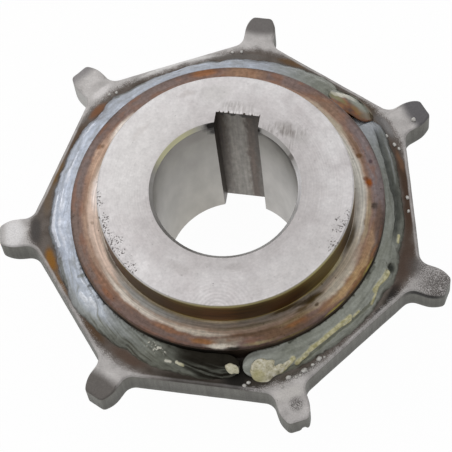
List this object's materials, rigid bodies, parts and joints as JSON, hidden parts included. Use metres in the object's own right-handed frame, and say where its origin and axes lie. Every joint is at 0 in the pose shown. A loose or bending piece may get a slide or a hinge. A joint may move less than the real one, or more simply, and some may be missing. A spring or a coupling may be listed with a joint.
{
  "type": "chain sprocket",
  "caption": "Welded steel chain sprocket: flat toothed plate seated against the shoulder of a turned hub with a keyed through bore, held by a fillet weld.",
  "frame": {"origin": "on the bore axis, in the plate's mid-plane (the plane the chain runs in)", "axes": "+Z along the bore axis towards the hub's front nose, +Y through the middle of the keyway and the tooth above it, +X to the right of it"},
  "size_m": [0.144, 0.1404, 0.0572],
  "materials": {
    "plate_steel": "flame-cut and blasted steel plate, heat-stained beside the weld",
    "hub_steel": "turned steel, satin, with heat colours on the shoulder",
    "weld_metal": "as welded, oxidised blue-grey with soot and slag"
  },
  "bodies": {
    "root": {"sprocket_plate": "plate_steel", "hub": "hub_steel", "weld_run_long": "weld_metal", "weld_run_short": "weld_metal"}
  },
  "joints": []
}
